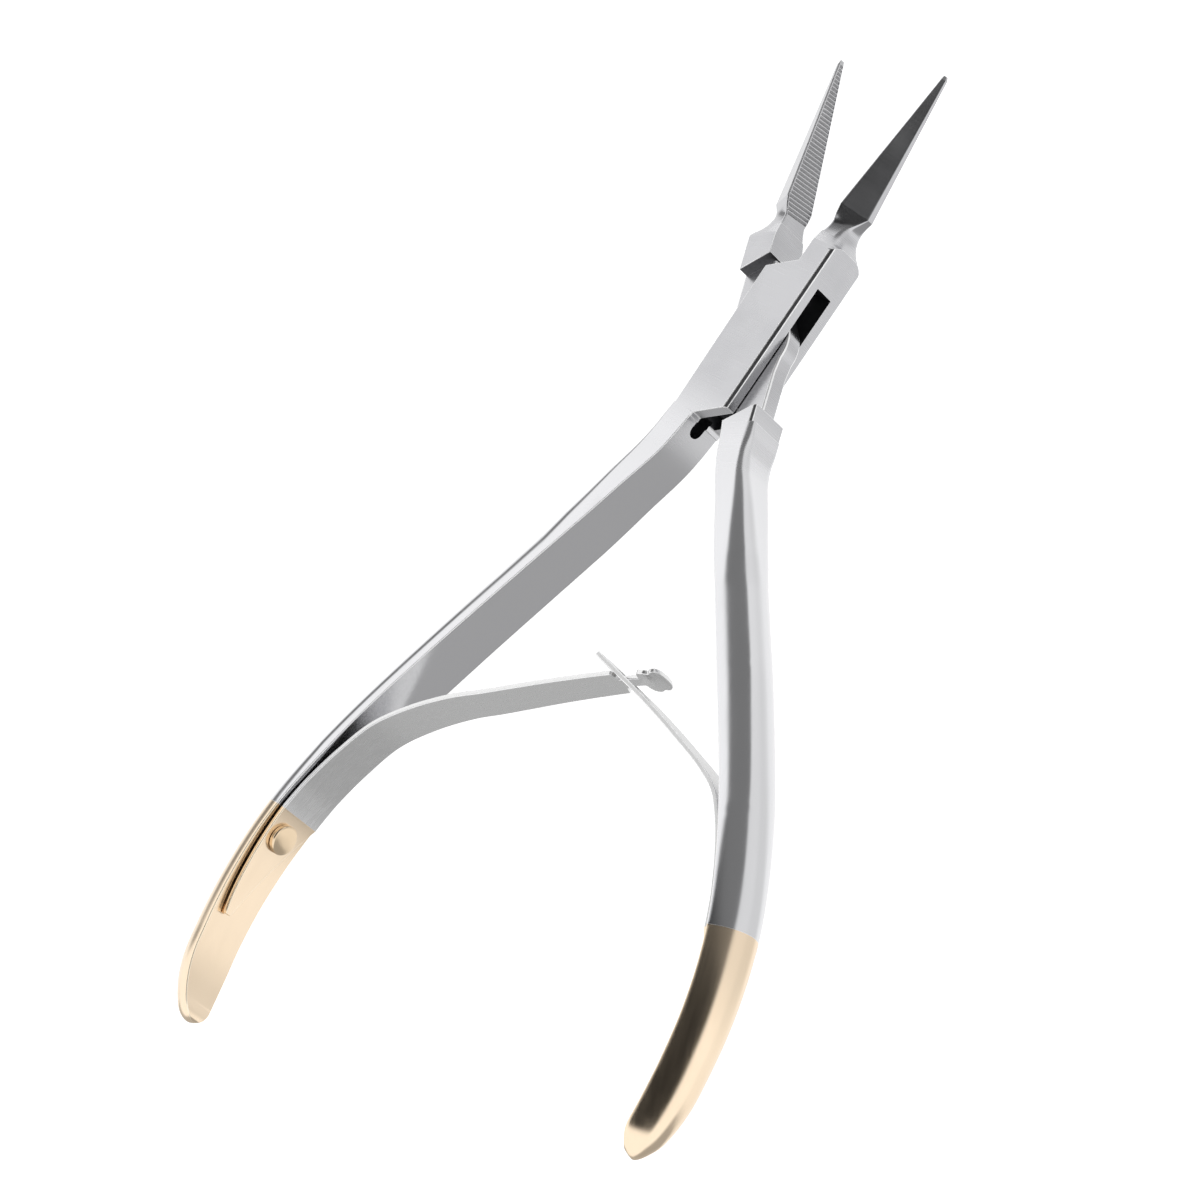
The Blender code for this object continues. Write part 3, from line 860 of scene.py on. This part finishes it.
def settle(piece, side, materials, smooth_deg=32):
    """Keep each point's place on its arm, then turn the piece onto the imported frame."""
    mesh = piece.data
    place = mesh.attributes.new("arm_place", "FLOAT_VECTOR", "POINT")
    for vertex, item in zip(mesh.vertices, place.data):
        item.vector = vertex.co
    lift = Matrix.Translation((0, 0, BOX_DEPTH * MM))
    turn = Matrix.Rotation(math.radians(side * HALF_OPENING_DEG), 4, "Z")
    mesh.transform(lift @ turn @ Matrix.Scale(MM, 4))
    while len(mesh.materials) > len(materials):
        mesh.materials.pop(index=len(mesh.materials) - 1)
    for index, material in enumerate(materials):
        mesh.materials[index] = material
    mesh.shade_smooth()
    mesh.set_sharp_from_angle(angle=math.radians(smooth_deg))
    weighted = piece.modifiers.new("even_shading", "WEIGHTED_NORMAL")
    weighted.keep_sharp = True
    weighted.weight = 60
    return piece


# ---------------------------------------------------------------- finishes


def node_group(name, inputs, outputs):
    group = bpy.data.node_groups.new(name, "ShaderNodeTree")
    for label, kind, value in inputs:
        socket = group.interface.new_socket(label, in_out="INPUT", socket_type=kind)
        if value is not None:
            socket.default_value = value
    for label, kind in outputs:
        group.interface.new_socket(label, in_out="OUTPUT", socket_type=kind)
    return group, group.nodes.new("NodeGroupInput"), group.nodes.new("NodeGroupOutput")


def brush_lines_group():
    """Fine parallel lines: Along and Across set how tight they are on the arm's axes."""
    group, given, result = node_group(
        "brush_lines",
        [
            ("Place", "NodeSocketVector", None),
            ("Along", "NodeSocketFloat", 0.1),
            ("Across", "NodeSocketFloat", 6.0),
        ],
        [("Line", "NodeSocketFloat"), ("Cloud", "NodeSocketFloat")],
    )
    nodes, links = group.nodes, group.links
    scale = nodes.new("ShaderNodeCombineXYZ")
    links.new(given.outputs["Across"], scale.inputs["X"])
    links.new(given.outputs["Along"], scale.inputs["Y"])
    links.new(given.outputs["Across"], scale.inputs["Z"])
    stretched = nodes.new("ShaderNodeVectorMath")
    stretched.operation = "MULTIPLY"
    links.new(given.outputs["Place"], stretched.inputs[0])
    links.new(scale.outputs[0], stretched.inputs[1])
    lines = nodes.new("ShaderNodeTexNoise")
    lines.inputs["Scale"].default_value = 1.0
    lines.inputs["Detail"].default_value = 3.0
    lines.inputs["Roughness"].default_value = 0.6
    links.new(stretched.outputs[0], lines.inputs["Vector"])
    cloud = nodes.new("ShaderNodeTexNoise")
    cloud.inputs["Scale"].default_value = 0.16
    cloud.inputs["Detail"].default_value = 2.0
    links.new(given.outputs["Place"], cloud.inputs["Vector"])
    links.new(lines.outputs["Fac"], result.inputs["Line"])
    links.new(cloud.outputs["Fac"], result.inputs["Cloud"])
    return group


def remap(nodes, links, source, low, high, to_low, to_high, smooth=False):
    node = nodes.new("ShaderNodeMapRange")
    node.interpolation_type = "SMOOTHSTEP" if smooth else "LINEAR"
    node.inputs["From Min"].default_value = low
    node.inputs["From Max"].default_value = high
    node.inputs["To Min"].default_value = to_low
    node.inputs["To Max"].default_value = to_high
    links.new(source, node.inputs["Value"])
    return node.outputs["Result"]


def math_node(nodes, links, operation, first, second):
    node = nodes.new("ShaderNodeMath")
    node.operation = operation
    for socket, value in zip(node.inputs, (first, second)):
        if isinstance(value, (int, float)):
            socket.default_value = value
        else:
            links.new(value, socket)
    return node.outputs[0]


def blend_values(nodes, links, share, first, second):
    node = nodes.new("ShaderNodeMix")
    links.new(share, node.inputs["Factor"])
    for socket, value in zip((node.inputs["A"], node.inputs["B"]), (first, second)):
        if isinstance(value, (int, float)):
            socket.default_value = value
        else:
            links.new(value, socket)
    return node.outputs["Result"]


def colour_mix(nodes, links, share, first, second):
    node = nodes.new("ShaderNodeMix")
    node.data_type = "RGBA"
    links.new(share, node.inputs["Factor"])
    node.inputs["A"].default_value = (*first, 1.0)
    node.inputs["B"].default_value = (*second, 1.0)
    return node.outputs["Result"]


def bare_metal(name):
    material = bpy.data.materials.new(name)
    material.use_nodes = True
    nodes, links = material.node_tree.nodes, material.node_tree.links
    shader = nodes["Principled BSDF"]
    shader.inputs["Metallic"].default_value = 1.0
    return material, nodes, links, shader


def arm_place(nodes):
    """Each point's place on its own arm, in millimetres."""
    place = nodes.new("ShaderNodeAttribute")
    place.attribute_name = "arm_place"
    return place.outputs["Vector"]


def add_brush(nodes, links, group, place, along, across):
    brush = nodes.new("ShaderNodeGroup")
    brush.node_tree = group
    links.new(place, brush.inputs["Place"])
    brush.inputs["Along"].default_value = along
    brush.inputs["Across"].default_value = across
    return brush


def brushed_metal(name, group, along, across):
    material, nodes, links, shader = bare_metal(name)
    brush = add_brush(nodes, links, group, arm_place(nodes), along, across)
    return material, nodes, links, shader, brush


def tint(nodes, links, shader, pattern, first, second):
    """Base colour that follows a pattern from one tone to the other."""
    links.new(colour_mix(nodes, links, pattern, first, second), shader.inputs["Base Color"])


def roughen(nodes, links, shader, pattern, low, high):
    """Roughness that follows a pattern between two values."""
    rough = remap(nodes, links, pattern, *NOISE_SPAN, low, high)
    links.new(rough, shader.inputs["Roughness"])


def add_bump(nodes, links, shader, height, strength, distance_mm):
    bump = nodes.new("ShaderNodeBump")
    bump.inputs["Strength"].default_value = strength
    bump.inputs["Distance"].default_value = distance_mm * MM
    links.new(height, bump.inputs["Height"])
    links.new(bump.outputs["Normal"], shader.inputs["Normal"])


def painted_highlight_mask_group():
    """A mask that is 1 along outer and inner edges, within the given radius, for a painted highlight.
    """
    group, given, result = node_group(
        "painted_highlight_mask",
        [("Radius", "NodeSocketFloat", EDGE_HIGHLIGHT_RADIUS * MM)],
        [("Mask", "NodeSocketFloat")],
    )
    nodes, links = group.nodes, group.links
    softened = nodes.new("ShaderNodeBevel")
    softened.samples = 4
    links.new(given.outputs["Radius"], softened.inputs["Radius"])
    surface = nodes.new("ShaderNodeNewGeometry")
    likeness = nodes.new("ShaderNodeVectorMath")
    likeness.operation = "DOT_PRODUCT"
    links.new(softened.outputs["Normal"], likeness.inputs[0])
    links.new(surface.outputs["Normal"], likeness.inputs[1])
    mask = remap(nodes, links, likeness.outputs["Value"], 0.9, 0.985, 1.0, 0.0)
    links.new(mask, result.inputs["Mask"])
    return group


def arm_steel(name, group, edge_highlight_group, brush_depth):
    """Polished lengthwise on the handles, brushed crosswise on the box and the jaws, with painted
    light: paler on the handle than on the box, and a painted highlight along edges.
    """
    material, nodes, links, shader = bare_metal(name)
    place = arm_place(nodes)
    brush = add_brush(nodes, links, group, place, 0.05, 3.0)
    cross = add_brush(nodes, links, group, place, 7.0, 0.1)
    parts = nodes.new("ShaderNodeSeparateXYZ")
    links.new(place, parts.inputs[0])
    height = parts.outputs["Y"]
    box_share = remap(nodes, links, height, *HANDLE_TO_BOX, 0.0, 1.0, smooth=True)
    line = nodes.new("ShaderNodeMix")
    links.new(box_share, line.inputs["Factor"])
    links.new(brush.outputs["Line"], line.inputs["A"])
    links.new(cross.outputs["Line"], line.inputs["B"])
    jaw_share = remap(nodes, links, height, *NECK_TO_JAW, 0.0, 1.0, smooth=True)
    tone = remap(nodes, links, line.outputs["Result"], *NOISE_SPAN, 0.0, 1.0)
    tone = math_node(nodes, links, "MULTIPLY", tone, brush_depth)
    box_colour = colour_mix(nodes, links, tone, (0.50, 0.50, 0.515), (0.6, 0.6, 0.615))
    # Painted light: the base colour grows paler from the box down the handle, and a random cloud adds
    # paler tone.
    bright = remap(nodes, links, height, *BOX_TO_HANDLE_LIGHT, 0.0, 1.0, smooth=True)
    soft_cloud = remap(nodes, links, brush.outputs["Cloud"], 0.35, 0.65, 0.0, 0.25)
    bright = math_node(nodes, links, "MAXIMUM", bright, soft_cloud)
    colour = nodes.new("ShaderNodeMix")
    colour.data_type = "RGBA"
    links.new(bright, colour.inputs["Factor"])
    links.new(box_colour, colour.inputs["A"])
    colour.inputs["B"].default_value = (0.71, 0.71, 0.725, 1.0)
    # Painted highlight: edges lightened to near white.
    edge_highlight = nodes.new("ShaderNodeGroup")
    edge_highlight.node_tree = edge_highlight_group
    edge = edge_highlight.outputs["Mask"]
    polished = nodes.new("ShaderNodeMix")
    polished.data_type = "RGBA"
    links.new(edge, polished.inputs["Factor"])
    links.new(colour.outputs["Result"], polished.inputs["A"])
    polished.inputs["B"].default_value = (0.95, 0.95, 0.96, 1.0)
    links.new(polished.outputs["Result"], shader.inputs["Base Color"])
    wander = remap(nodes, links, brush.outputs["Cloud"], *NOISE_SPAN, -0.02, 0.02)
    rough = remap(nodes, links, box_share, 0.0, 1.0, 0.17, 0.27)
    rough = blend_values(nodes, links, jaw_share, rough, 0.19)
    rough = math_node(nodes, links, "ADD", rough, wander)
    grain = remap(nodes, links, line.outputs["Result"], *NOISE_SPAN, -0.015, 0.02)
    rough = math_node(nodes, links, "ADD", rough, grain)
    rough = blend_values(nodes, links, edge, rough, 0.5)
    links.new(rough, shader.inputs["Roughness"])
    depth = remap(nodes, links, jaw_share, 0.0, 1.0, brush_depth, 0.1)
    relief = math_node(nodes, links, "MULTIPLY", line.outputs["Result"], depth)
    add_bump(nodes, links, shader, relief, 0.2, 0.01)
    return material


def painted_highlight_steel(group):
    """Edges painted brighter than the faces as a painted highlight, and softer."""
    material, nodes, links, shader, brush = brushed_metal("painted_highlight_steel", group, 1.2, 1.2)
    tint(nodes, links, shader, brush.outputs["Cloud"], (0.88, 0.88, 0.89), (0.98, 0.98, 0.98))
    roughen(nodes, links, shader, brush.outputs["Line"], 0.42, 0.52)
    return material


def tooth_groove_shade(group):
    """The walls of the teeth and other dark lines in painted shade: dark, dull steel."""
    material, nodes, links, shader, brush = brushed_metal("tooth_groove_shade", group, 2.0, 2.0)
    tint(nodes, links, shader, brush.outputs["Line"], (0.10, 0.10, 0.105), (0.22, 0.22, 0.225))
    roughen(nodes, links, shader, brush.outputs["Cloud"], 0.4, 0.5)
    return material


def slot_painted_shade(group):
    """Painted shade inside the slot: near-black, dull steel."""
    material, nodes, links, shader, brush = brushed_metal("slot_painted_shade", group, 1.0, 1.0)
    tint(nodes, links, shader, brush.outputs["Line"], (0.035, 0.036, 0.04), (0.07, 0.07, 0.075))
    roughen(nodes, links, shader, brush.outputs["Cloud"], 0.5, 0.65)
    return material


def leaf_steel(name, group, darker, paler):
    """Ground strip: even satin with faint lengthwise lines."""
    material, nodes, links, shader, brush = brushed_metal(name, group, 0.3, 2.5)
    tone = remap(nodes, links, brush.outputs["Line"], *NOISE_SPAN, 0.0, 1.0)
    tint(nodes, links, shader, tone, (darker,) * 3, (paler,) * 3)
    roughen(nodes, links, shader, brush.outputs["Line"], 0.25, 0.29)
    add_bump(nodes, links, shader, brush.outputs["Line"], 0.05, 0.01)
    return material


def painted_highlight_gold(group):
    """The plating's rounded edges, painted a shade paler than its faces as a painted highlight."""
    material, nodes, links, shader, brush = brushed_metal("painted_highlight_gold", group, 1.2, 1.2)
    tint(nodes, links, shader, brush.outputs["Cloud"], (0.97, 0.85, 0.66), (1.0, 0.89, 0.72))
    roughen(nodes, links, shader, brush.outputs["Line"], 0.35, 0.45)
    return material


def plated_gold(group):
    """Pale gold plating over the polished ends, with a faint drift in tone."""
    material, nodes, links, shader, brush = brushed_metal("plated_gold_finish", group, 0.08, 1.6)
    tint(nodes, links, shader, brush.outputs["Cloud"], (0.85, 0.69, 0.51), (0.90, 0.74, 0.56))
    roughen(nodes, links, shader, brush.outputs["Line"], 0.17, 0.23)
    add_bump(nodes, links, shader, brush.outputs["Cloud"], 0.1, 0.02)
    return material


def plated_head(group):
    """The rivet heads: the same plating, deeper in tone and turned smooth."""
    material, nodes, links, shader, brush = brushed_metal("plated_head", group, 0.6, 0.6)
    tint(nodes, links, shader, brush.outputs["Cloud"], (0.74, 0.58, 0.40), (0.80, 0.64, 0.45))
    roughen(nodes, links, shader, brush.outputs["Line"], 0.16, 0.22)
    return material


def pin_steel(group):
    """The pin's steel: fine lines placed in its own millimetres."""
    material, nodes, links, shader = bare_metal("pin_steel_finish")
    coordinates = nodes.new("ShaderNodeTexCoord")
    scaled = nodes.new("ShaderNodeVectorMath")
    scaled.operation = "SCALE"
    scaled.inputs["Scale"].default_value = 1 / MM
    links.new(coordinates.outputs["Object"], scaled.inputs[0])
    brush = add_brush(nodes, links, group, scaled.outputs[0], 0.3, 8.0)
    tint(nodes, links, shader, brush.outputs["Line"], (0.55, 0.55, 0.56), (0.66, 0.66, 0.67))
    roughen(nodes, links, shader, brush.outputs["Line"], 0.2, 0.32)
    return material


# ---------------------------------------------------------------- studio


def add_camera():
    """A long lens from the handle side, rolled so that the pliers stand upright."""
    forward = Vector(CAMERA_DIRECTION).normalized()
    level = forward.cross(Vector((0, 0, 1))).normalized()
    up = level.cross(forward)
    roll = math.radians(CAMERA_ROLL_DEG)
    right = level * math.cos(roll) + up * math.sin(roll)
    top = right.cross(forward)
    turn = Matrix((right, top, -forward)).transposed().to_4x4()
    data = bpy.data.cameras.new("studio_camera")
    data.lens = CAMERA_LENS
    data.sensor_width = 36.0
    data.clip_end = 20.0
    camera = bpy.data.objects.new("studio_camera", data)
    camera.matrix_world = Matrix.Translation(CAMERA_PLACE) @ turn
    bpy.context.scene.collection.objects.link(camera)
    bpy.context.scene.camera = camera


def add_floor():
    """A plain pale floor, far enough below the pliers to hold no hard shadow."""
    bm = bmesh.new()
    bmesh.ops.create_grid(bm, x_segments=8, y_segments=8, size=6.0)
    floor = add_piece("studio_floor", bm)
    floor.location.z = -FLOOR_DROP
    material = bpy.data.materials.new("pale_floor")
    material.use_nodes = True
    nodes, links = material.node_tree.nodes, material.node_tree.links
    shader = nodes["Principled BSDF"]
    shader.inputs["Roughness"].default_value = 0.9
    shader.inputs["Specular IOR Level"].default_value = 0.0
    shader.inputs["Emission Strength"].default_value = 0.5
    shader.inputs["Emission Color"].default_value = (1.0, 1.0, 1.0, 1.0)
    coordinates = nodes.new("ShaderNodeTexCoord")
    mottle = nodes.new("ShaderNodeTexNoise")
    mottle.inputs["Scale"].default_value = 3.0
    links.new(coordinates.outputs["Object"], mottle.inputs["Vector"])
    links.new(
        colour_mix(nodes, links, mottle.outputs["Fac"], (0.88, 0.88, 0.88), (0.9, 0.9, 0.9)),
        shader.inputs["Base Color"],
    )
    floor.data.materials.clear()
    floor.data.materials.append(material)
    floor.visible_glossy = False


def soft_studio():
    """Light from all round, with a dark gap overhead, softer light below and one dark flag."""
    world = bpy.data.worlds.new("studio")
    bpy.context.scene.world = world
    world.use_nodes = True
    nodes, links = world.node_tree.nodes, world.node_tree.links
    background = nodes["Background"]
    coordinates = nodes.new("ShaderNodeTexCoord")
    way = nodes.new("ShaderNodeSeparateXYZ")
    links.new(coordinates.outputs["Generated"], way.inputs[0])
    across, along, up = way.outputs

    def soft_edge(source, span, lights=(0.0, 1.0)):
        return remap(nodes, links, source, *span, *lights, smooth=True)

    def product(first, second):
        return math_node(nodes, links, "MULTIPLY", first, second)

    slope = math_node(nodes, links, "ARCTAN2", across, up)
    left_edge = soft_edge(slope, map(math.radians, GAP_LEFT_DEG))
    right_edge = soft_edge(slope, map(math.radians, GAP_RIGHT_DEG), (1.0, 0.0))
    gap = product(left_edge, right_edge)
    gap = product(gap, soft_edge(up, GAP_HEIGHT))
    gap = product(gap, soft_edge(along, GAP_NEAR_EDGE))
    gap_light = soft_edge(along, GAP_FAR_EDGE, GAP_LIGHT)
    cross_light = soft_edge(across, CROSS_EDGE, CROSS_LIGHT)
    front_light = soft_edge(along, FRONT_RISE, FRONT_LIGHT)
    lower = blend_values(nodes, links, soft_edge(along, FRONT_EDGE), cross_light, front_light)
    level = blend_values(nodes, links, soft_edge(up, HORIZON), lower, UPPER_LIGHT)
    far_side = soft_edge(across, FAR_SIDE, (0.0, FAR_DIMMING))
    dimming = product(far_side, soft_edge(along, FAR_HEIGHT))
    level = product(level, math_node(nodes, links, "SUBTRACT", 1.0, dimming))
    level = blend_values(nodes, links, gap, level, gap_light)
    toward = nodes.new("ShaderNodeVectorMath")
    toward.operation = "DOT_PRODUCT"
    links.new(coordinates.outputs["Generated"], toward.inputs[0])
    toward.inputs[1].default_value = Vector(FLAG_DIRECTION).normalized()
    flag_edge = (math.cos(math.radians(angle)) for angle in FLAG_EDGE_DEG)
    level = blend_values(nodes, links, soft_edge(toward.outputs["Value"], flag_edge), level, FLAG_LIGHT)
    links.new(level, background.inputs["Strength"])
    background.inputs["Color"].default_value = (1.0, 1.0, 1.0, 1.0)


# ---------------------------------------------------------------- assembly


def build_pliers():
    lines = brush_lines_group()
    # Mask for the painted highlight on edges.
    edge_highlight = painted_highlight_mask_group()
    steels = {
        FEMALE: arm_steel("left_arm_steel", lines, edge_highlight, 0.05),
        MALE: arm_steel("right_arm_steel", lines, edge_highlight, 0.3),
    }
    # Painted shade for the slot.
    dark = slot_painted_shade(lines)
    # Painted highlight for edges.
    edge = painted_highlight_steel(lines)
    # The right leaf's copy is painted darker than the left's, as painted shade.
    leaves = {
        FEMALE: leaf_steel("left_leaf_steel", lines, 0.73, 0.79),
        MALE: leaf_steel("right_leaf_shaded_steel", lines, 0.5, 0.57),
    }
    gold = plated_gold(lines)
    # Painted highlight for plated edges.
    gold_edge = painted_highlight_gold(lines)
    head_gold = plated_head(lines)
    # Painted shade for the tooth walls and dark lines.
    groove = tooth_groove_shade(lines)
    sides = (
        (FEMALE, "left", female_arm, left_leaf, "female_arm", "left_spring", "left_rivet"),
        (MALE, "right", male_arm, right_leaf, "male_arm", "right_spring", "right_rivet"),
    )
    for side, word, make_arm, make_leaf, arm_body, spring_body, rivet_node in sides:
        arm = make_arm()
        arm_end = split_at_plating(arm, word + "_arm_plated_end")
        spring = make_leaf()
        tongue = split_at_plating(spring, word + "_leaf_plated_tongue")
        head = rivet_head(word + "_rivet_head", side)
        settle(arm, side, (steels[side], edge, dark, groove))
        settle(arm_end, side, (gold, gold_edge))
        settle(spring, side, (leaves[side], edge))
        settle(tongue, side, (gold, gold_edge))
        settle(head, side, (head_gold,))
        for piece in (arm, arm_end, tongue, head):
            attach(piece, arm_body)
        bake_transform(spring)
        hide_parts(arm_body)
        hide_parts(arm_body)
        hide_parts(spring_body)
        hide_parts(spring_body)
        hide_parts(rivet_node)
    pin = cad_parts["pivot_pin"]
    pin.data.materials.clear()
    pin.data.materials.append(pin_steel(lines))


build_pliers()
add_camera()
add_floor()
soft_studio()
bpy.context.scene.view_settings.view_transform = "Standard"
